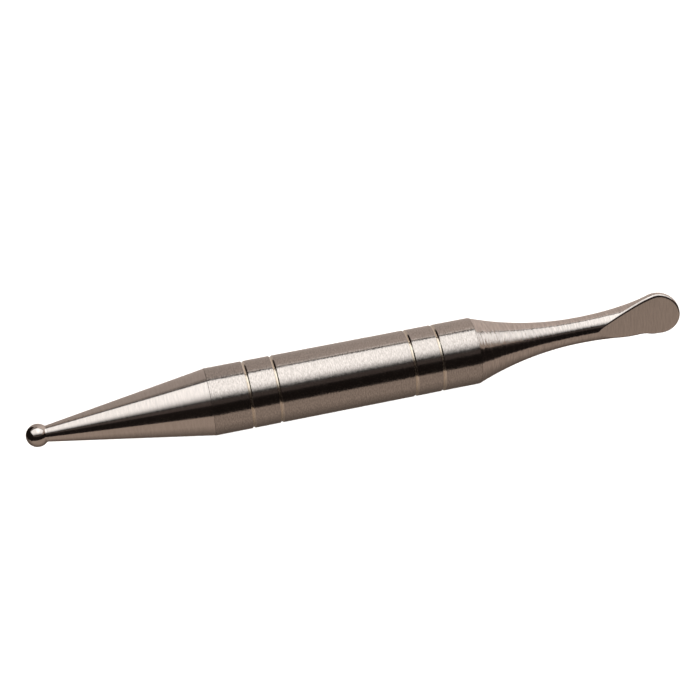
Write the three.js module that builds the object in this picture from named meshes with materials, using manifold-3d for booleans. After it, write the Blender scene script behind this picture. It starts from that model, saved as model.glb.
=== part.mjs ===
// A double-ended sculpting tool, turned from metal bar: a grip barrel with a ball-tipped cone screwed into
// one end and a hollow-ground spatula screwed into the other.
//
// Frame: millimetres, +X along the tool from the ball to the spatula, +Z up. The tool lies on its barrel at
// z = 0 with the middle of its length at x = 0, and the spatula's flat faces -Y.
import * as THREE from "three";
import { mergeVertices } from "three/addons/utils/BufferGeometryUtils.js";
import Module from "manifold-3d";

const wasm = await Module();
wasm.setup();

// Every round piece is a lathe form of FACETS flats. The flats touch the true circle, and one faces
// straight down.
const FACETS = 24;
const CORNER_SCALE = 1 / Math.cos(Math.PI / FACETS);

// Places along the tool are measured from the middle of the barrel. Outlines are lists of [place, radius].
const BARREL_RADIUS = 5;
const BARREL_LENGTH = 40.2;
const SEAM_GAP = 0.1;
const EDGE_BREAK = 0.1;
const GROOVE_PLACES = [10.15, 14.35];
const GROOVE_WIDTH = 0.5;
const GROOVE_DEPTH = 0.22;
const BARREL_END = BARREL_LENGTH / 2;
const SHOULDER = BARREL_END + SEAM_GAP;
const SHOULDER_RADIUS = 4.96;

// M5 studs, modelled at their major diameter with no thread form, in tapped holes drilled to a 118 degree
// point. A point of that angle is DRILL_POINT times as deep as its radius.
const STUD_RADIUS = 2.46;
const STUD_CHAMFER = 0.45;
const STUD_IN_BARREL = 8;
const STUD_IN_END = 5;
const SOCKET_ACROSS_FLATS = 2.5;
const SOCKET_DEPTH = 2.6;
const TAPPED_RADIUS = 2.56;
const TAPPED_SPARE = 0.5;
const DRILL_POINT = 0.6;

// A round rubber ring in a recess round each tapped hole of the barrel.
const RING_SECTION = 1;
const RING_RADIUS = 3.15;
const RING_SIDES = 14;
const RECESS_RADIUS = 3.75;
const RECESS_DEPTH = 0.96;
const RING_CLEARANCE = 0.03;

// Nose cone and the ball pressed into its small end.
const NOSE_END = 43.7;
const NOSE_TIP_RADIUS = 1.22;
const BALL_PLACE = 45.16;
const BALL_RADIUS = 1.69;
const BALL_NECK_RADIUS = 1.16;
const BALL_STEPS = 14;
const SHANK_RADIUS = 0.68;
const SHANK_LENGTH = 5.5;
const SHANK_HOLE_RADIUS = 0.74;
const FACE_GAP = 0.04;

// Spatula: a concave neck, a flare, and a round bulb with a hollow ground across it on its -Y side. Seen
// from above, the hollow is a curved ramp, a short flat a little past the axis, and a rise to the tip.
// Depths are measured from the axis towards -Y.
const WAIST_PLACE = 36.85;
const WAIST_RADIUS = 1.98;
const NECK_ARC_RADIUS = 48;
const NECK_STEPS = 16;
const FLARE_START_HANDLE = 4;
const FLARE_END_HANDLE = 3.3;
const FLARE_ANGLE = THREE.MathUtils.degToRad(16);
const FLARE_STEPS = 10;
const BULB_PLACE = 49.46;
const BULB_RADIUS = 3.43;
const BULB_STEPS = 12;
const RAMP_START = 39.6;
const RAMP_START_DEPTH = 2;
const RAMP_START_SLOPE = 0.115;
const RAMP_START_HANDLE = 4.07;
const RAMP_END_HANDLE = 1.1;
const FLAT_START = 47.85;
const FLAT_END = 49.65;
const FLAT_SINK = 0.11;
const RISE_HANDLE = 0.25;
const RISE_END = 52.9;
const RISE_END_DEPTH = 1.22;
const HOLLOW_STEPS = 10;
const CUTTER_REACH = 8;

const FRONT_END = BALL_PLACE + BALL_RADIUS;
const REAR_END = BULB_PLACE + BULB_RADIUS;

const blastedSteel = () => new THREE.MeshStandardMaterial({ color: 0x8f8882, roughness: 0.55, metalness: 1 });
const turnedSteel = () => new THREE.MeshStandardMaterial({ color: 0xa39b93, roughness: 0.3, metalness: 1 });
const polishedSteel = () => new THREE.MeshStandardMaterial({ color: 0xb0a9a2, roughness: 0.12, metalness: 1 });
const studSteel = () => new THREE.MeshStandardMaterial({ color: 0x77736f, roughness: 0.4, metalness: 1 });
const blackRubber = () => new THREE.MeshStandardMaterial({ color: 0x17171a, roughness: 0.8, metalness: 0 });

// Points [place, radius] along a circular arc from one angle to another.
function arc(place, radius, arcRadius, from, to, steps) {
  const curve = new THREE.EllipseCurve(place, radius, arcRadius, arcRadius, from, to, to < from);
  return curve.getPoints(steps).map((point) => [point.x, point.y]);
}

// The same outline on the other side of the barrel's middle, still running from -X to +X.
function mirrored(outline) {
  return outline.map(([place, radius]) => [-place, radius]).reverse();
}

// A blind tapped hole, from its point on the axis out to its mouth. Direction is +1 for a hole towards +X.
function tappedHole(mouth, depth, direction) {
  const floor = mouth + direction * depth;
  return [
    [floor + direction * DRILL_POINT * TAPPED_RADIUS, 0],
    [floor, TAPPED_RADIUS],
    [mouth, TAPPED_RADIUS],
  ];
}

// A lathe form about the X axis. The outline runs from -X to +X on its outer side.
function turned(outline) {
  const profile = outline.map(([place, radius]) => new THREE.Vector2(radius * CORNER_SCALE, place));
  const geometry = new THREE.LatheGeometry(profile, FACETS, Math.PI / FACETS);
  return geometry.rotateZ(-Math.PI / 2);
}

function solid(geometry) {
  geometry.deleteAttribute("normal");
  geometry.deleteAttribute("uv");
  const merged = mergeVertices(geometry, 1e-4);
  const vertProperties = merged.attributes.position.array;
  const triVerts = new Uint32Array(merged.index.array);
  return new wasm.Manifold(new wasm.Mesh({ numProp: 3, vertProperties, triVerts }));
}

function cutAway(body, cutter) {
  const mesh = solid(body).subtract(solid(cutter)).getMesh();
  const geometry = new THREE.BufferGeometry();
  geometry.setAttribute("position", new THREE.BufferAttribute(mesh.vertProperties, 3));
  geometry.setIndex(new THREE.BufferAttribute(mesh.triVerts, 1));
  geometry.computeVertexNormals();
  return geometry;
}

function named(name, geometry, material) {
  const mesh = new THREE.Mesh(geometry, material);
  mesh.name = name;
  return mesh;
}

// One V-groove round the barrel.
function groove(place) {
  return [
    [place - GROOVE_WIDTH / 2, BARREL_RADIUS],
    [place, BARREL_RADIUS - GROOVE_DEPTH],
    [place + GROOVE_WIDTH / 2, BARREL_RADIUS],
  ];
}

function gripBarrel() {
  const recessFloor = BARREL_END - RECESS_DEPTH;
  const hole = tappedHole(recessFloor, STUD_IN_BARREL - RECESS_DEPTH + TAPPED_SPARE, -1);
  const rearEnd = [
    [BARREL_END - EDGE_BREAK, BARREL_RADIUS],
    [BARREL_END, BARREL_RADIUS - EDGE_BREAK],
    [BARREL_END, RECESS_RADIUS],
    [recessFloor, RECESS_RADIUS],
    ...hole.reverse(),
  ];
  const rearHalf = [...GROOVE_PLACES.flatMap(groove), ...rearEnd];
  return turned([...mirrored(rearHalf), ...rearHalf]);
}

function noseCone() {
  const shankHoleFloor = -(NOSE_END - SHANK_LENGTH - TAPPED_SPARE);
  return turned([
    [shankHoleFloor, 0],
    [shankHoleFloor, SHANK_HOLE_RADIUS],
    [-NOSE_END, SHANK_HOLE_RADIUS],
    [-NOSE_END, NOSE_TIP_RADIUS],
    [-SHOULDER - EDGE_BREAK, SHOULDER_RADIUS],
    [-SHOULDER, SHOULDER_RADIUS - EDGE_BREAK],
    ...tappedHole(-SHOULDER, STUD_IN_END + TAPPED_SPARE, -1).reverse(),
  ]);
}

function ballTip() {
  const neckAngle = Math.asin(BALL_NECK_RADIUS / BALL_RADIUS);
  const neckEnd = -NOSE_END - FACE_GAP;
  return turned([
    ...arc(-BALL_PLACE, 0, BALL_RADIUS, Math.PI, neckAngle, BALL_STEPS),
    [neckEnd, NOSE_TIP_RADIUS],
    [neckEnd, SHANK_RADIUS],
    [-NOSE_END + SHANK_LENGTH, SHANK_RADIUS],
    [-NOSE_END + SHANK_LENGTH, 0],
  ]);
}

// A headless stud for the rear joint, with its hexagon socket in the end that goes into the barrel.
function stud() {
  const from = BARREL_END - STUD_IN_BARREL;
  const to = SHOULDER + STUD_IN_END;
  const bar = turned([
    [from, 0],
    [from, STUD_RADIUS - STUD_CHAMFER],
    [from + STUD_CHAMFER, STUD_RADIUS],
    [to - STUD_CHAMFER, STUD_RADIUS],
    [to, STUD_RADIUS - STUD_CHAMFER],
    [to, 0],
  ]);
  const socketRadius = SOCKET_ACROSS_FLATS / 2 / Math.cos(Math.PI / 6);
  const socket = new THREE.CylinderGeometry(socketRadius, socketRadius, 2 * SOCKET_DEPTH, 6);
  socket.rotateZ(Math.PI / 2).translate(from, 0, 0);
  return cutAway(bar, socket);
}

// The rear seal ring, a torus that sits in the barrel's recess and touches the spatula's shoulder.
function sealRing() {
  const place = SHOULDER - RING_SECTION / 2 - RING_CLEARANCE;
  return turned(arc(place, RING_RADIUS, RING_SECTION / 2, 0, 2 * Math.PI, RING_SIDES).reverse());
}

function spatulaBody() {
  const shoulderAngle = Math.asin((WAIST_PLACE - SHOULDER - EDGE_BREAK) / NECK_ARC_RADIUS);
  const neckCentre = WAIST_RADIUS + NECK_ARC_RADIUS;
  const inward = -Math.PI / 2;
  const neck = arc(WAIST_PLACE, neckCentre, NECK_ARC_RADIUS, inward - shoulderAngle, inward, NECK_STEPS);
  const bulb = arc(BULB_PLACE, 0, BULB_RADIUS, Math.PI / 2 + FLARE_ANGLE, 0, BULB_STEPS);
  const waist = new THREE.Vector2(WAIST_PLACE, WAIST_RADIUS);
  const bulbStart = new THREE.Vector2(...bulb[0]);
  const bulbSlope = new THREE.Vector2(Math.cos(FLARE_ANGLE), Math.sin(FLARE_ANGLE));
  const flare = new THREE.CubicBezierCurve(
    waist,
    waist.clone().add(new THREE.Vector2(FLARE_START_HANDLE, 0)),
    bulbStart.clone().addScaledVector(bulbSlope, -FLARE_END_HANDLE),
    bulbStart,
  );
  const flarePoints = flare.getPoints(FLARE_STEPS).slice(1, -1);
  return turned([
    ...tappedHole(SHOULDER, STUD_IN_END + TAPPED_SPARE, 1),
    [SHOULDER, neck[0][1] - EDGE_BREAK],
    ...neck,
    ...flarePoints.map((point) => [point.x, point.y]),
    ...bulb,
  ]);
}

// Everything that is ground off the bulb. The ramp goes on in a straight line before its start, where it is
// clear of the neck.
function bladeCutter() {
  const leadIn = RAMP_START - 1;
  const outline = new THREE.Shape();
  outline.moveTo(leadIn, -CUTTER_REACH);
  outline.lineTo(leadIn, -RAMP_START_DEPTH - RAMP_START_SLOPE);
  outline.lineTo(RAMP_START, -RAMP_START_DEPTH);
  outline.bezierCurveTo(
    RAMP_START + RAMP_START_HANDLE,
    -RAMP_START_DEPTH + RAMP_START_SLOPE * RAMP_START_HANDLE,
    FLAT_START - RAMP_END_HANDLE,
    FLAT_SINK,
    FLAT_START,
    FLAT_SINK,
  );
  outline.lineTo(FLAT_END, FLAT_SINK);
  outline.quadraticCurveTo(FLAT_END + RISE_HANDLE, FLAT_SINK, RISE_END, -RISE_END_DEPTH);
  outline.lineTo(RISE_END, -CUTTER_REACH);
  const settings = { depth: 2 * CUTTER_REACH, curveSegments: HOLLOW_STEPS, bevelEnabled: false };
  const cutter = new THREE.ExtrudeGeometry(outline, settings);
  return cutter.translate(0, 0, -CUTTER_REACH);
}

// Stud and ring are drawn at the rear joint, and a half turn about Z puts the same piece at the front one.
function atFront(geometry) {
  return geometry.rotateZ(Math.PI);
}

const tool = new THREE.Group();
tool.position.set((FRONT_END - REAR_END) / 2, 0, BARREL_RADIUS);
tool.add(
  named("grip_barrel", gripBarrel(), blastedSteel()),
  named("front_seal_ring", atFront(sealRing()), blackRubber()),
  named("front_stud", atFront(stud()), studSteel()),
  named("nose_cone", noseCone(), turnedSteel()),
  named("ball_tip", ballTip(), polishedSteel()),
  named("rear_seal_ring", sealRing(), blackRubber()),
  named("rear_stud", stud(), studSteel()),
  named("spatula_blade", cutAway(spatulaBody(), bladeCutter()), turnedSteel()),
);

export default tool;
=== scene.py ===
import math

import bmesh
import bpy
from mathutils import Matrix, Vector


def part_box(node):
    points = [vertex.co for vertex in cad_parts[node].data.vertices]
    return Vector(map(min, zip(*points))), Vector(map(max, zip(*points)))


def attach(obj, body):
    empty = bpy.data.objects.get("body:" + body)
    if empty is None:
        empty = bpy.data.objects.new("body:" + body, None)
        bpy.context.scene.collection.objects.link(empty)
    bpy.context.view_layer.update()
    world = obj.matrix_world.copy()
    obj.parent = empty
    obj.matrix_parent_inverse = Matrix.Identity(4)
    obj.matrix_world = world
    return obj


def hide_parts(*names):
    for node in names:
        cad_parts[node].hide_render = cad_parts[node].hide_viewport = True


# A double-ended sculpting tool on a pale floor, in soft studio light. Every CAD node is replaced by a finer
# piece in the same place.
#
# Pieces are drawn in millimetres about the X axis, at places measured from the middle of the barrel. All of
# them are drawn towards +X. A half turn about Z then puts those of the ball's end on their own side, and
# makes the barrel's other half.
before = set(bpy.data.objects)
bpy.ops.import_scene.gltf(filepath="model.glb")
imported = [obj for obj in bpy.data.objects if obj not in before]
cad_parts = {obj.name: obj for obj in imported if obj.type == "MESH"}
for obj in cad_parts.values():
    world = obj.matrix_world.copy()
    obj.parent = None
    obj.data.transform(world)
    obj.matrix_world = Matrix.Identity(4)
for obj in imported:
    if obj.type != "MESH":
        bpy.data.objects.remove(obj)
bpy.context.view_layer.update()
barrel_low, barrel_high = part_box("grip_barrel")

MM = 0.001
TURN = 2 * math.pi
MIDDLE = (barrel_low + barrel_high) / 2
SIDES = 128
MERGE_DISTANCE = 1e-4
SHARP_ANGLE = math.radians(40)

# Barrel
BARREL_RADIUS = (barrel_high.z - barrel_low.z) / 2 / MM
BARREL_END = (barrel_high.x - barrel_low.x) / 2 / MM
BARREL_EDGE = 0.06
GROOVE_PLACES = (10.15, 14.35)
GROOVE_WIDTH = 0.5
GROOVE_DEPTH = 0.22
GROOVE_EDGE = 0.05

# Screwed joint at each end
SEAM_GAP = 0.015
SHOULDER = BARREL_END + SEAM_GAP
SHOULDER_EDGE = 0.03
PITCH = 0.8
THREAD_HEIGHT = PITCH * 5 / 16 * math.sqrt(3)
STUD_SIDES = 96
STUD_RADIUS = 2.46
STUD_CHAMFER = 0.45
STUD_START = (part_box("rear_stud")[0].x - MIDDLE.x) / MM
STUD_END = (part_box("rear_stud")[1].x - MIDDLE.x) / MM
SOCKET_ACROSS_FLATS = 2.5
SOCKET_DEPTH = 2.6
SOCKET_CHAMFER = 0.12
HOLE_CLEARANCE = 0.1
HOLE_SPARE = 0.5
HOLE_COUNTERSINK = 0.12
DRILL_POINT = 0.6
RING_RADIUS = 3.15
RING_SECTION = 0.5
RING_SQUEEZE = 0.91
RING_FLASH = 0.02
RING_FLASH_SHARPNESS = 60
RING_STEPS = 32
RING_PLACE = (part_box("rear_seal_ring")[0].x / 2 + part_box("rear_seal_ring")[1].x / 2 - MIDDLE.x) / MM
RECESS_RADIUS = 3.75
RECESS_DEPTH = 0.96
RECESS_EDGE = 0.08
RECESS_CORNER = 0.15

# Nose cone and ball
NOSE_END = (MIDDLE.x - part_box("nose_cone")[0].x) / MM
NOSE_RADIUS = (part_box("nose_cone")[1].z - MIDDLE.z) / MM
NOSE_TIP_RADIUS = 1.22
NOSE_TIP_EDGE = 0.03
BALL_RADIUS = (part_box("ball_tip")[1].z - MIDDLE.z) / MM
BALL_PLACE = (MIDDLE.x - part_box("ball_tip")[0].x) / MM - BALL_RADIUS
BALL_NECK_RADIUS = 1.2
BALL_NECK_FILLET = 0.3
BALL_GAP = 0.01
BALL_STEPS = 40
BALL_NECK_STEPS = 8
SHANK_RADIUS = 0.68
SHANK_HOLE_RADIUS = 0.74
SHANK_LENGTH = 5.5
SHANK_CORNER = 0.02
SHANK_END_EDGE = 0.2

# Spatula: a concave neck, a flare, and a round bulb with a hollow ground across it on its -Y side. The
# hollow is drawn as points [place, y]: a curved ramp, a short flat and a rise to the tip.
WAIST_PLACE = 36.85
WAIST_RADIUS = 1.98
NECK_ARC_RADIUS = 48
FLARE_ANGLE = math.radians(16)
FLARE_START_HANDLE = 4
FLARE_END_HANDLE = 3.3
BULB_PLACE = 49.46
BULB_RADIUS = 3.43
RAMP_LEAD_IN = 1
RAMP_START = Vector((39.6, -2))
RAMP_START_HANDLE = Vector((4.07, 0.468))
RAMP_END_HANDLE = Vector((-1.1, 0))
FLAT_START = Vector((47.85, 0.11))
FLAT_END = Vector((49.65, 0.11))
RISE_HANDLE = Vector((0.25, 0))
RISE_END = Vector((52.9, -1.22))
BLADE_EDGE = 0.42
TIP_EDGE = 0.2
NECK_STEPS = 40
RAMP_STEPS = 44
FLAT_STEPS = 10
TIP_STEPS = 24
SLOPE_STEP = 0.01
WIDEST_FACE_MARGIN = 0.02
GROUND_FACE_MARGIN = 0.02


# ---- outlines and meshes -------------------------------------------------------------------------


def mix(a, b, share):
    return a + (b - a) * share


def bezier(points, share):
    """The point at that share of a Bezier curve of any degree."""
    while len(points) > 1:
        points = [mix(a, b, share) for a, b in zip(points, points[1:])]
    return points[0]


def solve(function, low, high):
    """Where a rising function passes zero, by halving."""
    for _ in range(40):
        middle = (low + high) / 2
        low, high = (middle, high) if function(middle) < 0 else (low, middle)
    return low


def softened(outline, steps=4):
    """An outline of [place, radius, size] as [place, radius], with each corner rounded over its size."""
    points = [Vector(point[:2]) for point in outline]
    soft = []
    for index, (point, (_, _, size)) in enumerate(zip(points, outline)):
        if not size:
            soft.append(point)
            continue
        before = point + (points[index - 1] - point).normalized() * size
        after = point + (points[index + 1] - point).normalized() * size
        soft += [bezier([before, point, after], step / steps) for step in range(steps + 1)]
    return [(point.x, point.y) for point in soft]


def arc(place, radius, arc_radius, start, end, steps):
    """Points [place, radius] along a circular arc, from one angle to another."""
    angles = [mix(start, end, step / steps) for step in range(steps + 1)]
    return [(place + arc_radius * math.cos(a), radius + arc_radius * math.sin(a)) for a in angles]


def circle(bm, place, radius, sides=SIDES):
    """A ring of vertices about the X axis, or one vertex on the axis."""
    if radius < 1e-9:
        return [bm.verts.new((place, 0, 0))]
    angles = [TURN * side / sides for side in range(sides)]
    return [bm.verts.new((place, radius * math.cos(a), radius * math.sin(a))) for a in angles]


def hexagon(bm, place, across_flats, sides):
    """A ring of vertices along a hexagon, as many as a circle has."""
    ring = []
    for side in range(sides):
        angle = TURN * side / sides
        from_flat = (angle + TURN / 12) % (TURN / 6) - TURN / 12
        radius = across_flats / 2 / math.cos(from_flat)
        ring.append(bm.verts.new((place, radius * math.cos(angle), radius * math.sin(angle))))
    return ring


def bridge(bm, first, second):
    """Faces between two rings, or between a ring and one vertex on the axis."""
    sides = max(len(first), len(second))
    for side in range(sides):
        after = (side + 1) % sides
        corners = [
            first[side % len(first)],
            first[after % len(first)],
            second[after % len(second)],
            second[side % len(second)],
        ]
        bm.faces.new(dict.fromkeys(corners))


def bridge_all(bm, rings):
    for first, second in zip(rings, rings[1:]):
        bridge(bm, first, second)


def turned(bm, outline, sides=SIDES):
    bridge_all(bm, [circle(bm, place, radius, sides) for place, radius in outline])


def thread(bm, start, end, crest, limit, sides):
    """A right-hand 60 degree thread. limit(place, radius) trims it to one radius at each of its ends."""
    root = crest - THREAD_HEIGHT
    form = ((0, root), (0.25, root), (0.5625, crest), (0.6875, crest))
    lines = range(len(form) * (int(start / PITCH) - 1), len(form) * (int(end / PITCH) + 3))
    grid = []
    for line in lines:
        share, radius = form[line % len(form)]
        grid.append([])
        for side in range(sides):
            angle = TURN * side / sides
            place = PITCH * (line // len(form) + share + side / sides)
            place = min(max(place, start), end)
            size = limit(place, radius)
            grid[-1].append(bm.verts.new((place, size * math.cos(angle), size * math.sin(angle))))
    # after a full turn each line goes on as the line one pitch further on
    for low, high, low_on, high_on in zip(grid, grid[1:], grid[len(form):], grid[len(form) + 1:]):
        for side in range(sides - 1):
            bm.faces.new((low[side], low[side + 1], high[side + 1], high[side]))
        bm.faces.new((low[-1], low_on[0], high_on[0], high[-1]))


def tapped_hole(bm, mouth, depth, direction):
    """A blind threaded hole from its mouth to its drilled point, and its mouth's radius.

    Direction is +1 for a hole that goes in towards +X, and -1 for one towards -X.
    """
    crest = STUD_RADIUS + HOLE_CLEARANCE
    mouth_radius = crest + HOLE_COUNTERSINK
    drill_radius = crest - THREAD_HEIGHT
    floor = mouth + direction * depth

    def limit(place, radius):
        radius = min(radius, drill_radius + abs(place - floor))
        return max(radius, mouth_radius - abs(place - mouth))

    thread(bm, min(mouth, floor), max(mouth, floor), crest, limit, SIDES)
    turned(bm, [(floor, drill_radius), (floor + direction * DRILL_POINT * drill_radius, 0)])
    return mouth_radius


def half_turn(bm, geometry):
    bmesh.ops.rotate(bm, cent=(0, 0, 0), matrix=Matrix.Rotation(math.pi, 3, "Z"), verts=geometry)


def piece(name, bm, body, node, slot, *materials, front=False):
    """One closed mesh in metres, in its place, that rides on a body and stands for a CAD node."""
    if front:
        half_turn(bm, bm.verts)
    bmesh.ops.remove_doubles(bm, verts=bm.verts, dist=MERGE_DISTANCE)
    bmesh.ops.recalc_face_normals(bm, faces=bm.faces)
    bmesh.ops.transform(bm, matrix=Matrix.Translation(MIDDLE) @ Matrix.Scale(MM, 4), verts=bm.verts)
    mesh = bpy.data.meshes.new(name)
    bm.to_mesh(mesh)
    bm.free()
    mesh.shade_smooth()
    mesh.set_sharp_from_angle(angle=SHARP_ANGLE)
    for material in materials:
        mesh.materials.append(material)
    made = bpy.data.objects.new(name, mesh)
    bpy.context.scene.collection.objects.link(made)
    normals = made.modifiers.new("flat_faces_stay_flat", "WEIGHTED_NORMAL")
    normals.keep_sharp = True
    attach(made, body)
    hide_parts(node)


# ---- pieces --------------------------------------------------------------------------------------


def groove(place):
    return [
        (place - GROOVE_WIDTH / 2, BARREL_RADIUS, GROOVE_EDGE),
        (place, BARREL_RADIUS - GROOVE_DEPTH, GROOVE_EDGE),
        (place + GROOVE_WIDTH / 2, BARREL_RADIUS, GROOVE_EDGE),
    ]


def give_grooves_second_material(bm):
    for face in bm.faces:
        place, y, z = face.calc_center_median()
        from_groove = min(abs(abs(place) - groove_place) for groove_place in GROOVE_PLACES)
        if from_groove < GROOVE_WIDTH / 2 and math.hypot(y, z) > RECESS_RADIUS:
            face.material_index = 1


def barrel():
    bm = bmesh.new()
    recess_floor = BARREL_END - RECESS_DEPTH
    hole_depth = recess_floor - STUD_START + HOLE_SPARE
    mouth_radius = tapped_hole(bm, recess_floor, hole_depth, -1)
    turned(bm, softened([
        (0, BARREL_RADIUS, 0),
        *(point for place in GROOVE_PLACES for point in groove(place)),
        (BARREL_END, BARREL_RADIUS, BARREL_EDGE),
        (BARREL_END, RECESS_RADIUS, RECESS_EDGE),
        (recess_floor, RECESS_RADIUS, RECESS_CORNER),
        (recess_floor, mouth_radius, 0),
    ]))
    other = bmesh.ops.duplicate(bm, geom=bm.verts[:] + bm.edges[:] + bm.faces[:])["geom"]
    half_turn(bm, [item for item in other if isinstance(item, bmesh.types.BMVert)])
    give_grooves_second_material(bm)
    return bm


def nose():
    bm = bmesh.new()
    shank_floor = NOSE_END - SHANK_LENGTH - HOLE_SPARE
    mouth_radius = tapped_hole(bm, SHOULDER, STUD_END - SHOULDER + HOLE_SPARE, 1)
    turned(bm, softened([
        (SHOULDER, mouth_radius, 0),
        (SHOULDER, NOSE_RADIUS, SHOULDER_EDGE),
        (NOSE_END, NOSE_TIP_RADIUS, NOSE_TIP_EDGE),
        (NOSE_END, SHANK_HOLE_RADIUS, NOSE_TIP_EDGE),
        (shank_floor, SHANK_HOLE_RADIUS, 0),
        (shank_floor - DRILL_POINT * SHANK_HOLE_RADIUS, 0, 0),
    ]))
    return bm


def ball():
    bm = bmesh.new()
    fillet_radius = BALL_NECK_RADIUS + BALL_NECK_FILLET
    fillet_place = BALL_PLACE - math.sqrt((BALL_RADIUS + BALL_NECK_FILLET) ** 2 - fillet_radius ** 2)
    meeting = math.atan2(fillet_radius, fillet_place - BALL_PLACE)
    fillet_turn = (meeting - math.pi, -math.pi / 2)
    fillet = arc(fillet_place, fillet_radius, BALL_NECK_FILLET, *fillet_turn, BALL_NECK_STEPS)
    neck_end = NOSE_END + BALL_GAP
    turned(bm, [
        *arc(BALL_PLACE, 0, BALL_RADIUS, 0, meeting, BALL_STEPS),
        *fillet[1:],
        *softened([
            (neck_end, BALL_NECK_RADIUS, 0),
            (neck_end, SHANK_RADIUS, SHANK_CORNER),
            (NOSE_END - SHANK_LENGTH, SHANK_RADIUS, SHANK_END_EDGE),
            (NOSE_END - SHANK_LENGTH, 0, 0),
        ]),
    ])
    return bm


def stud():
    bm = bmesh.new()
    end_radius = STUD_RADIUS - STUD_CHAMFER

    def limit(place, radius):
        return min(radius, end_radius + min(place - STUD_START, STUD_END - place))

    thread(bm, STUD_START, STUD_END, STUD_RADIUS, limit, STUD_SIDES)
    socket_floor = STUD_START + SOCKET_DEPTH
    bridge_all(bm, [
        circle(bm, STUD_START, end_radius, STUD_SIDES),
        circle(bm, STUD_START, SOCKET_ACROSS_FLATS / math.sqrt(3) + SOCKET_CHAMFER, STUD_SIDES),
        hexagon(bm, STUD_START + SOCKET_CHAMFER, SOCKET_ACROSS_FLATS, STUD_SIDES),
        hexagon(bm, socket_floor, SOCKET_ACROSS_FLATS, STUD_SIDES),
        circle(bm, socket_floor + DRILL_POINT * SOCKET_ACROSS_FLATS / 2, 0),
    ])
    turned(bm, [(STUD_END, end_radius), (STUD_END, 0)], STUD_SIDES)
    return bm


def seal_ring():
    """A round rubber ring, a little flattened, with the mould's parting line inside and outside."""
    bm = bmesh.new()
    rings = []
    for step in range(RING_STEPS):
        angle = TURN * step / RING_STEPS
        section = RING_SECTION + RING_FLASH * abs(math.sin(angle)) ** RING_FLASH_SHARPNESS - RING_FLASH
        radius = RING_RADIUS + section * math.sin(angle)
        rings.append(circle(bm, RING_PLACE + section * RING_SQUEEZE * math.cos(angle), radius))
    bridge_all(bm, [*rings, rings[0]])
    return bm


def flare_curve():
    """The neck's waist to the bulb, as a Bezier curve of [place, radius]."""
    along = Vector((math.cos(FLARE_ANGLE), math.sin(FLARE_ANGLE)))
    bulb_start = Vector((BULB_PLACE - BULB_RADIUS * along.y, BULB_RADIUS * along.x))
    waist = Vector((WAIST_PLACE, WAIST_RADIUS))
    waist_handle = waist + Vector((FLARE_START_HANDLE, 0))
    bulb_handle = bulb_start - along * FLARE_END_HANDLE
    return [waist, waist_handle, bulb_handle, bulb_start]


def blade_radius(place):
    """The spatula's outer radius before it was ground."""
    flare = flare_curve()
    if place < WAIST_PLACE:
        return WAIST_RADIUS + NECK_ARC_RADIUS - math.sqrt(NECK_ARC_RADIUS ** 2 - (WAIST_PLACE - place) ** 2)
    if place < flare[-1].x:
        return bezier(flare, solve(lambda share: bezier(flare, share).x - place, 0, 1)).y
    return math.sqrt(BULB_RADIUS ** 2 - (place - BULB_PLACE) ** 2)


def ground_face(place):
    """The y of the ground hollow's face at a place along the spatula."""
    ramp = [RAMP_START, RAMP_START + RAMP_START_HANDLE, FLAT_START + RAMP_END_HANDLE, FLAT_START]
    rise = [FLAT_END, FLAT_END + RISE_HANDLE, RISE_END]
    if place < RAMP_START.x - RAMP_LEAD_IN:
        return -math.inf
    if place < RAMP_START.x:
        return RAMP_START.y + RAMP_START_HANDLE.y / RAMP_START_HANDLE.x * (place - RAMP_START.x)
    if FLAT_START.x <= place <= FLAT_END.x:
        return FLAT_START.y
    curve = ramp if place < FLAT_START.x else rise
    return bezier(curve, solve(lambda share: bezier(curve, share).x - place, 0, 1)).y


def half_section(place, swing):
    """Half a section of the spatula, as [y, reach] from the middle of its ground face round to its back.

    Its plane holds the spatula's own Y direction, and is swung from +Z towards +X about it.
    """
    radius = blade_radius(place)
    edge = mix(BLADE_EDGE, TIP_EDGE, math.sin(swing))
    corner_radius = radius - edge

    def face(reach):
        return max(ground_face(place + reach * math.sin(swing)), -radius)

    def edge_centre(reach):
        rise = (face(reach + SLOPE_STEP) - face(reach)) / SLOPE_STEP
        return Vector((face(reach), reach)) + edge * Vector((1, -rise)).normalized()

    # the rounding error of a length is less than this, so where nothing is ground off, the face ends at 0
    rounding = 2e-6
    widest = radius - WIDEST_FACE_MARGIN
    face_end = solve(lambda reach: edge_centre(reach).length - corner_radius + rounding, 0, widest)
    centre = edge_centre(face_end)
    face_side = math.atan2(face_end - centre.y, centre.x - face(face_end))
    corner = math.atan2(centre.y, -centre.x)
    face_steps, edge_steps, back_steps = 16, 8, SIDES // 2
    points = []
    for step in range(face_steps):
        reach = face_end * step / face_steps
        points.append((face(reach), reach))
    for step in range(edge_steps):
        angle = mix(face_side, corner, step / edge_steps)
        points.append((centre.x - edge * math.cos(angle), centre.y + edge * math.sin(angle)))
    for step in range(back_steps + 1):
        angle = mix(corner, math.pi, step / back_steps)
        points.append((-radius * math.cos(angle), radius * math.sin(angle)))
    return points


def section(bm, place, swing=0):
    """A ring of vertices round the spatula. At the bulb, its two halves swing on to meet at the tip."""
    half = half_section(place, swing)
    out, up = math.sin(swing), math.cos(swing)
    upper = [bm.verts.new((place + reach * out, y, reach * up)) for y, reach in half]
    lower = [bm.verts.new((place + reach * out, y, -reach * up)) for y, reach in reversed(half[1:-1])]
    return upper + lower


def give_ground_face_second_material(bm):
    for face in bm.faces:
        place, y, _ = face.calc_center_median()
        if place > RAMP_START.x and abs(y - ground_face(place)) < GROUND_FACE_MARGIN:
            face.material_index = 1


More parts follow.
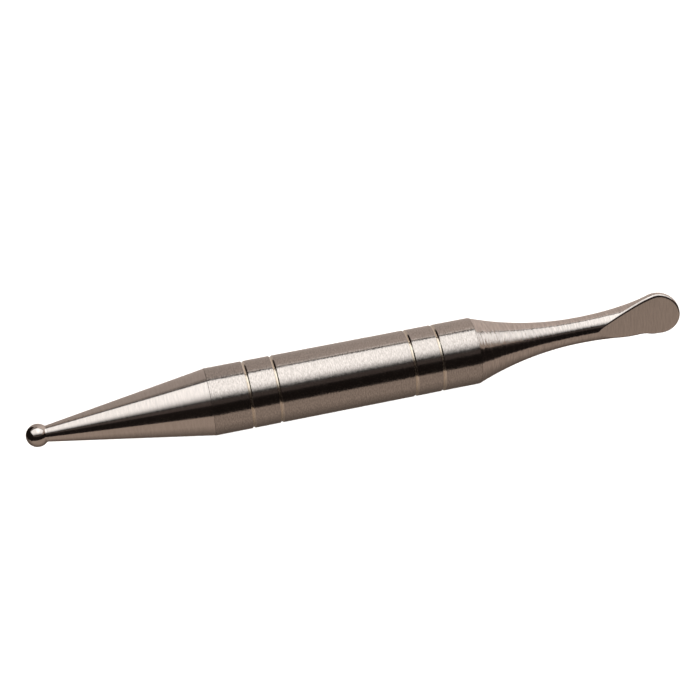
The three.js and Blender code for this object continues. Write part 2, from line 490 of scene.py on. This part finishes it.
def spatula():
    bm = bmesh.new()
    mouth_radius = tapped_hole(bm, SHOULDER, STUD_END - SHOULDER + HOLE_SPARE, 1)
    neck_start = SHOULDER + 2 * SHOULDER_EDGE
    turned(bm, softened([
        (SHOULDER, mouth_radius, 0),
        (SHOULDER, blade_radius(SHOULDER), SHOULDER_EDGE),
        (neck_start, blade_radius(neck_start), 0),
    ]))
    near_ramp = (RAMP_START.x - RAMP_LEAD_IN, RAMP_START.x + RAMP_LEAD_IN)
    cut_start = solve(lambda place: blade_radius(place) + ground_face(place), *near_ramp)
    neck = [mix(neck_start, cut_start, step / NECK_STEPS) for step in range(NECK_STEPS)]
    ramp = [mix(cut_start, FLAT_START.x, (step / RAMP_STEPS) ** 2) for step in range(RAMP_STEPS)]
    flat = [mix(FLAT_START.x, BULB_PLACE, step / FLAT_STEPS) for step in range(FLAT_STEPS)]
    rings = [section(bm, place) for place in neck + ramp + flat]
    rings += [section(bm, BULB_PLACE, TURN / 4 * step / TIP_STEPS) for step in range(TIP_STEPS + 1)]
    bridge_all(bm, rings)
    give_ground_face_second_material(bm)
    return bm


# ---- materials -----------------------------------------------------------------------------------


def new_material(name, **values):
    """A Principled material, with values set on its own sockets."""
    material = bpy.data.materials.new(name)
    material.use_nodes = True
    shader = material.node_tree.nodes["Principled BSDF"]
    for socket, value in values.items():
        shader.inputs[socket.replace("_", " ")].default_value = value
    return material


def node(material, kind, settings=(), **inputs):
    """A new node, with each input set to a value or linked from another node's output."""
    made = material.node_tree.nodes.new("ShaderNode" + kind)
    for name, value in dict(settings).items():
        setattr(made, name, value)
    for name, value in inputs.items():
        socket = made.inputs[name.replace("_", " ")]
        if isinstance(value, bpy.types.NodeSocket):
            material.node_tree.links.new(value, socket)
        else:
            socket.default_value = value
    return made


def noise(material, along, around, detail=2.0, roughness=0.5):
    """Noise from 0 to 1 whose marks are that long, in mm, along the tool and across it."""
    place = node(material, "TexCoord").outputs["Object"]
    scale = (1 / (along * MM), 1 / (around * MM), 1 / (around * MM))
    mapped = node(material, "Mapping", Vector=place, Scale=scale).outputs["Vector"]
    texture = node(material, "TexNoise", Vector=mapped, Scale=1.0, Detail=detail, Roughness=roughness)
    return texture.outputs["Fac"]


def spread(material, value, low, high, start=0.25, end=0.75, curve="LINEAR"):
    """Value, which is from start to end, put onto low to high."""
    ends = {"From_Min": start, "From_Max": end, "To_Min": low, "To_Max": high}
    return node(material, "MapRange", {"interpolation_type": curve}, Value=value, **ends).outputs["Result"]


def bump(material, height, depth, normal=None):
    """Relief of that depth in mm, laid over another normal if one is given."""
    made = node(material, "Bump", Height=height, Strength=1.0, Distance=depth * MM)
    if normal:
        material.node_tree.links.new(normal, made.inputs["Normal"])
    return made.outputs["Normal"]


def tint(material, value, dark, light):
    """A colour between two, by a value from 0.25 to 0.75."""
    factor = spread(material, value, 0.0, 1.0)
    made = node(material, "Mix", {"data_type": "RGBA"})
    # a Mix node has sockets for every type of value, and 6, 7 and 2 are those for colours
    material.node_tree.links.new(factor, made.inputs[0])
    made.inputs[6].default_value = (*dark, 1)
    made.inputs[7].default_value = (*light, 1)
    return made.outputs[2]


def finish_material(material, colour, roughness, normal):
    shader = material.node_tree.nodes["Principled BSDF"]
    links = material.node_tree.links
    links.new(colour, shader.inputs["Base Color"])
    links.new(roughness, shader.inputs["Roughness"])
    links.new(normal, shader.inputs["Normal"])
    return material


def blasted_metal():
    """The barrel: a fine blasted grain over short marks left by turning."""
    made = new_material("blasted_barrel", Metallic=1.0)
    grain = noise(made, along=0.17, around=0.45, detail=2.0, roughness=0.6)
    marks = noise(made, along=0.2, around=0.7, detail=2.0, roughness=0.6)
    patches = noise(made, along=1.6, around=2.5, detail=3.0)
    colour = tint(made, grain, (0.38, 0.352, 0.334), (0.58, 0.537, 0.511))
    roughness = spread(made, patches, 0.12, 0.17)
    normal = bump(made, marks, depth=0.015, normal=bump(made, grain, depth=0.007))
    return finish_material(made, colour, roughness, normal)


def bright_cut_metal():
    """The grooves: cut after blasting, so brighter and warmer, with fine lines round them."""
    made = new_material("bright_cut_metal", Metallic=1.0)
    lines = noise(made, along=0.05, around=1.5, detail=2.0)
    wear = noise(made, along=0.5, around=1.0, detail=3.0)
    colour = tint(made, wear, (0.76, 0.7, 0.62), (0.86, 0.8, 0.72))
    roughness = spread(made, wear, 0.1, 0.2)
    normal = bump(made, lines, depth=0.003)
    return finish_material(made, colour, roughness, normal)


def turned_metal(name, dark, light, depth):
    """The cone, or the spatula's neck or ground face: fine lines, with a few deeper ones of that depth."""
    made = new_material(name, Metallic=1.0)
    lines = noise(made, along=0.12, around=3.0, detail=1.0)
    streaks = noise(made, along=0.25, around=1.6, detail=2.0)
    colour = tint(made, streaks, dark, light)
    roughness = spread(made, streaks, 0.1, 0.17)
    normal = bump(made, streaks, depth, normal=bump(made, lines, depth=0.004))
    return finish_material(made, colour, roughness, normal)


def polished_metal():
    """The ball: polished, with faint wear."""
    made = new_material("polished_metal", Metallic=1.0)
    wear = noise(made, along=0.3, around=0.3, detail=4.0, roughness=0.6)
    colour = tint(made, wear, (0.58, 0.537, 0.511), (0.66, 0.611, 0.581))
    roughness = spread(made, wear, 0.06, 0.14)
    normal = bump(made, wear, depth=0.003)
    return finish_material(made, colour, roughness, normal)


def stud_steel():
    """The studs: plain machined steel, duller in patches."""
    made = new_material("stud_steel", Metallic=1.0)
    lines = noise(made, along=0.05, around=2.0, detail=2.0)
    patches = noise(made, along=0.8, around=0.8, detail=4.0)
    colour = tint(made, patches, (0.3, 0.29, 0.28), (0.46, 0.45, 0.44))
    roughness = spread(made, patches, 0.28, 0.45)
    normal = bump(made, lines, depth=0.004)
    return finish_material(made, colour, roughness, normal)


def black_rubber():
    """The seal rings: matt black rubber with a dusty bloom."""
    made = new_material("black_rubber", Metallic=0.0)
    bloom = noise(made, along=0.4, around=0.4, detail=5.0, roughness=0.6)
    fine = noise(made, along=0.06, around=0.06, detail=2.0)
    colour = tint(made, bloom, (0.016, 0.016, 0.017), (0.04, 0.039, 0.038))
    roughness = spread(made, bloom, 0.6, 0.85)
    normal = bump(made, fine, depth=0.01)
    return finish_material(made, colour, roughness, normal)


# ---- studio --------------------------------------------------------------------------------------

CAMERA_DISTANCE = 0.24268
CAMERA_AZIMUTH = math.radians(-10.134)
CAMERA_ELEVATION = math.radians(27.628)
CAMERA_ROLL = math.radians(-6.125)
CAMERA_AIM = Vector((1.08, 3.86, 0)) * MM
CAMERA_LENS = 84.33
WORLD_COLOUR = (1, 0.795, 0.66)
WORLD_STRENGTH = 0.4

# Cards, in metres from the point on the floor below the tool's middle. A strength is the light of a card.
CEILING_HEIGHT = 0.3
SOFTBOX_ENDS = (-0.4, 0.45)
SOFTBOX_FRONT = -0.5
SOFTBOX_BACK = 0.062
SOFTBOX_STRENGTH = 1.86
SOFTBOX_FRONT_FADE = (SOFTBOX_FRONT, -0.12)
SOFTBOX_MIDDLE = 0.03
SOFTBOX_END_FADE = (0.04, 0.14)
SOFTBOX_END_SHARE = 0.75
FRAME_BACK = 0.096
FRAME_STRENGTH = 0.03
TRIM_FRONT = 0.1
TRIM_BACK = 0.12
TRIM_STRENGTH = 1.1
SHADE_BACK = 0.15
SHADE_STRENGTH = 0.25
DIM_CEILING_REACH = 1.2
DIM_CEILING_STRENGTH = 0.07
ROOM_RADIUS = 0.5
ROOM_START = -1.1 * math.pi
ROOM_HEIGHT = (-0.195, 0.14)
ROOM_STEPS = 24
ROOM_STRENGTH = 0.012
DARK_SIDE = -0.52
DARK_SIDE_HEIGHT = (-0.26, 0.8)
BACK_WALL_START = -0.26
BACK_WALL_END = 2
BACK_WALL_HEIGHT = (-0.4, 2.2)
BACK_WALL_FADE = (0.16, 0.61)
BACK_WALL_STRENGTHS = (0.42, 0.7)
FLOOR_SHADE_DROP = 0.165
FLOOR_SHADE_REACH = 0.6
FLOOR_SHADE_FADE = (-0.1, 0.06)
FLOOR_SHADE_STRENGTH = 0.15

# Floor and its light
FLOOR_REACH = 6.0
DAYLIGHT_ENERGY = 3.8


def add_camera():
    """The camera looks a little up and to the right of the barrel's middle."""
    turn = (
        Matrix.Rotation(CAMERA_AZIMUTH, 4, "Z")
        @ Matrix.Rotation(TURN / 4 - CAMERA_ELEVATION, 4, "X")
        @ Matrix.Rotation(CAMERA_ROLL, 4, "Z")
    )
    data = bpy.data.cameras.new("camera")
    data.lens = CAMERA_LENS
    data.clip_start = 0.01
    camera = bpy.data.objects.new("camera", data)
    camera.matrix_world = Matrix.Translation(MIDDLE) @ turn @ Matrix.Translation(CAMERA_AIM)
    camera.matrix_world @= Matrix.Translation((0, 0, CAMERA_DISTANCE))
    bpy.context.scene.collection.objects.link(camera)
    bpy.context.scene.camera = camera


def card(name, corners, material):
    """A flat panel of the studio, seen by reflections only."""
    mesh = bpy.data.meshes.new(name)
    mesh.from_pydata(corners, [], [range(len(corners))])
    mesh.materials.append(material)
    made = bpy.data.objects.new(name, mesh)
    bpy.context.scene.collection.objects.link(made)
    made.visible_camera = False
    made.visible_diffuse = False
    made.visible_shadow = False


def glow(name, colour, strength):
    """A plain light-giving material, and its emission."""
    material = bpy.data.materials.new(name)
    material.use_nodes = True
    material.node_tree.nodes.clear()
    emission = node(material, "Emission", Color=(*colour, 1), Strength=strength)
    output = node(material, "OutputMaterial")
    material.node_tree.links.new(emission.outputs[0], output.inputs["Surface"])
    return material, emission


def panel(name, along, height, depth, material):
    """A level card, from its two limits along X and its two in Y."""
    corners = [(along[0], depth[0]), (along[0], depth[1]), (along[1], depth[1]), (along[1], depth[0])]
    card(name, [(x, y, height) for x, y in corners], material)


def ceiling_panel(name, along, depth, colour, strength):
    """A level card at the softbox's height, with a plain glow of its own."""
    material, _ = glow(name + "_glow", colour, strength)
    panel(name, along, CEILING_HEIGHT, depth, material)


def wall(name, first, second, height, material):
    """An upright card, from one point on the floor's plan to another."""
    low, high = height
    card(name, [(*first, low), (*second, low), (*second, high), (*first, high)], material)


def fading_glow(name, colour, middle=0.0):
    """A light-giving material, its emission, the distance from the middle along X, and the place in Y."""
    material, emission = glow(name, colour, 1.0)
    place = node(material, "TexCoord").outputs["Object"]
    place = node(material, "Mapping", Vector=place, Location=(-middle, 0, 0)).outputs["Vector"]
    x, y, _ = node(material, "SeparateXYZ", Vector=place).outputs
    distance = node(material, "Math", {"operation": "ABSOLUTE"}, Value=x).outputs[0]
    return material, emission, distance, y


def add_softbox():
    """A long softbox overhead, whose light fades towards its front edge and its ends, in a dark frame.

    Past the frame is a bright trim over the tool's right half and a dimmer panel over its left half.
    """
    material, emission, x, y = fading_glow("softbox_glow", (1, 0.99, 0.97), SOFTBOX_MIDDLE)
    front_fade = spread(material, y, 0.0, SOFTBOX_STRENGTH, *SOFTBOX_FRONT_FADE, "SMOOTHSTEP")
    end_fade = spread(material, x, 1.0, SOFTBOX_END_SHARE, *SOFTBOX_END_FADE)
    strength = node(material, "Math", {"operation": "MULTIPLY"})
    for fade, socket in zip((front_fade, end_fade), strength.inputs):
        material.node_tree.links.new(fade, socket)
    material.node_tree.links.new(strength.outputs[0], emission.inputs["Strength"])
    panel("softbox", SOFTBOX_ENDS, CEILING_HEIGHT, (SOFTBOX_FRONT, SOFTBOX_BACK), material)

    left, right = SOFTBOX_ENDS
    ceiling_panel("softbox_frame", SOFTBOX_ENDS, (SOFTBOX_BACK, FRAME_BACK), (1, 0.8, 0.7), FRAME_STRENGTH)
    ceiling_panel("softbox_trim", (0, right), (TRIM_FRONT, TRIM_BACK), (1, 0.92, 0.86), TRIM_STRENGTH)
    ceiling_panel("softbox_shade", (left, 0), (FRAME_BACK, SHADE_BACK), (1, 0.85, 0.76), SHADE_STRENGTH)


def add_dark_room():
    """A low dark wall round the tool's left, front and right, and a high one just past it on the left."""
    material, _ = glow("dark_room_glow", (1, 0.75, 0.65), ROOM_STRENGTH)
    angles = [mix(ROOM_START, 0, step / ROOM_STEPS) for step in range(ROOM_STEPS + 1)]
    corners = [(ROOM_RADIUS * math.cos(a), ROOM_RADIUS * math.sin(a)) for a in angles]
    for index, (first, second) in enumerate(zip(corners, corners[1:])):
        wall(f"dark_room_{index}", first, second, ROOM_HEIGHT, material)
    front, corner = (DARK_SIDE, -ROOM_RADIUS), (DARK_SIDE, ROOM_RADIUS)
    wall("dark_side", front, corner, DARK_SIDE_HEIGHT, material)
    wall("dark_corner", corner, (BACK_WALL_START, ROOM_RADIUS), DARK_SIDE_HEIGHT, material)


def add_dim_ceiling():
    """A dim ceiling before the softbox, which softens the change from its light to the dark room."""
    along = (-DIM_CEILING_REACH, DIM_CEILING_REACH)
    depth = (-DIM_CEILING_REACH, SOFTBOX_FRONT)
    ceiling_panel("dim_ceiling", along, depth, (1, 0.78, 0.7), DIM_CEILING_STRENGTH)


def add_back_wall():
    """A grey wall behind the tool, lighter towards its right end."""
    material, emission, x, _ = fading_glow("back_wall_glow", (1, 0.85, 0.76), BACK_WALL_START)
    strength = spread(material, x, *BACK_WALL_STRENGTHS, *BACK_WALL_FADE)
    material.node_tree.links.new(strength, emission.inputs["Strength"])
    left, right = (BACK_WALL_START, ROOM_RADIUS), (BACK_WALL_END, ROOM_RADIUS)
    wall("back_wall", left, right, BACK_WALL_HEIGHT, material)


def add_floor_shade():
    """A card under the floor, seen by reflections as the tool's own shade, darker towards the back."""
    material, emission, _, y = fading_glow("floor_shade_glow", WORLD_COLOUR)
    strength = spread(material, y, WORLD_STRENGTH, FLOOR_SHADE_STRENGTH, *FLOOR_SHADE_FADE)
    material.node_tree.links.new(strength, emission.inputs["Strength"])
    along = (-FLOOR_SHADE_REACH, FLOOR_SHADE_REACH)
    panel("floor_shade", along, -FLOOR_SHADE_DROP, (FLOOR_SHADE_FADE[0], ROOM_RADIUS), material)


def add_floor():
    """A pale floor. Reflections don't see it, and the warm grey of the world stands for it there."""
    material = new_material("pale_floor", Roughness=0.9)
    speckle = noise(material, along=3.0, around=3.0, detail=3.0)
    colour = tint(material, speckle, (0.88, 0.88, 0.88), (0.9, 0.9, 0.9))
    material.node_tree.links.new(colour, material.node_tree.nodes["Principled BSDF"].inputs["Base Color"])
    mesh = bpy.data.meshes.new("floor")
    reach = FLOOR_REACH
    corners = [(-reach, -reach, 0), (reach, -reach, 0), (reach, reach, 0), (-reach, reach, 0)]
    mesh.from_pydata(corners, [], [range(len(corners))])
    mesh.materials.append(material)
    floor = bpy.data.objects.new("floor", mesh)
    floor.visible_glossy = False
    bpy.context.scene.collection.objects.link(floor)


def add_daylight():
    """Light from above for the floor, without a shadow. The metal doesn't reflect it as a spot."""
    data = bpy.data.lights.new("daylight", "SUN")
    data.energy = DAYLIGHT_ENERGY
    data.use_shadow = False
    light = bpy.data.objects.new("daylight", data)
    light.visible_glossy = False
    bpy.context.scene.collection.objects.link(light)


def add_world():
    """A warm grey for light and reflections, and white for the camera, past the floor's far edge."""
    world = bpy.data.worlds.new("studio")
    world.use_nodes = True
    seen = node(world, "LightPath").outputs["Is Camera Ray"]
    colour = tint(world, seen, [WORLD_STRENGTH * value for value in WORLD_COLOUR], (1, 1, 1))
    world.node_tree.links.new(colour, world.node_tree.nodes["Background"].inputs["Color"])
    bpy.context.scene.world = world


def set_up_studio():
    bpy.context.scene.view_settings.view_transform = "Standard"
    add_camera()
    add_softbox()
    add_dark_room()
    add_dim_ceiling()
    add_back_wall()
    add_floor_shade()
    add_floor()
    add_daylight()
    add_world()


# ---- the tool ------------------------------------------------------------------------------------

set_up_studio()

blasted = blasted_metal()
bright_cut = bright_cut_metal()
fine_turned = turned_metal("turned_metal", (0.6, 0.555, 0.529), (0.68, 0.629, 0.599), 0.01)
coarse_turned = turned_metal("coarse_turned_metal", (0.5, 0.463, 0.441), (0.65, 0.601, 0.573), 0.05)
ground = turned_metal("ground_metal", (0.5, 0.463, 0.441), (0.62, 0.574, 0.546), 0.01)
polished = polished_metal()
steel = stud_steel()
rubber = black_rubber()

piece("barrel", barrel(), "grip", "grip_barrel", "blasted_barrel", blasted, bright_cut)
piece("nose", nose(), "ball_end", "nose_cone", "turned_metal", fine_turned, front=True)
piece("ball", ball(), "ball_end", "ball_tip", "polished_metal", polished, front=True)
piece("front_screw", stud(), "ball_end", "front_stud", "stud_steel", steel, front=True)
piece("front_ring_seal", seal_ring(), "front_ring", "front_seal_ring", "black_rubber", rubber, front=True)
piece("spatula", spatula(), "spatula_end", "spatula_blade", "turned_metal", coarse_turned, ground)
piece("rear_screw", stud(), "spatula_end", "rear_stud", "stud_steel", steel)
piece("rear_ring_seal", seal_ring(), "rear_ring", "rear_seal_ring", "black_rubber", rubber)
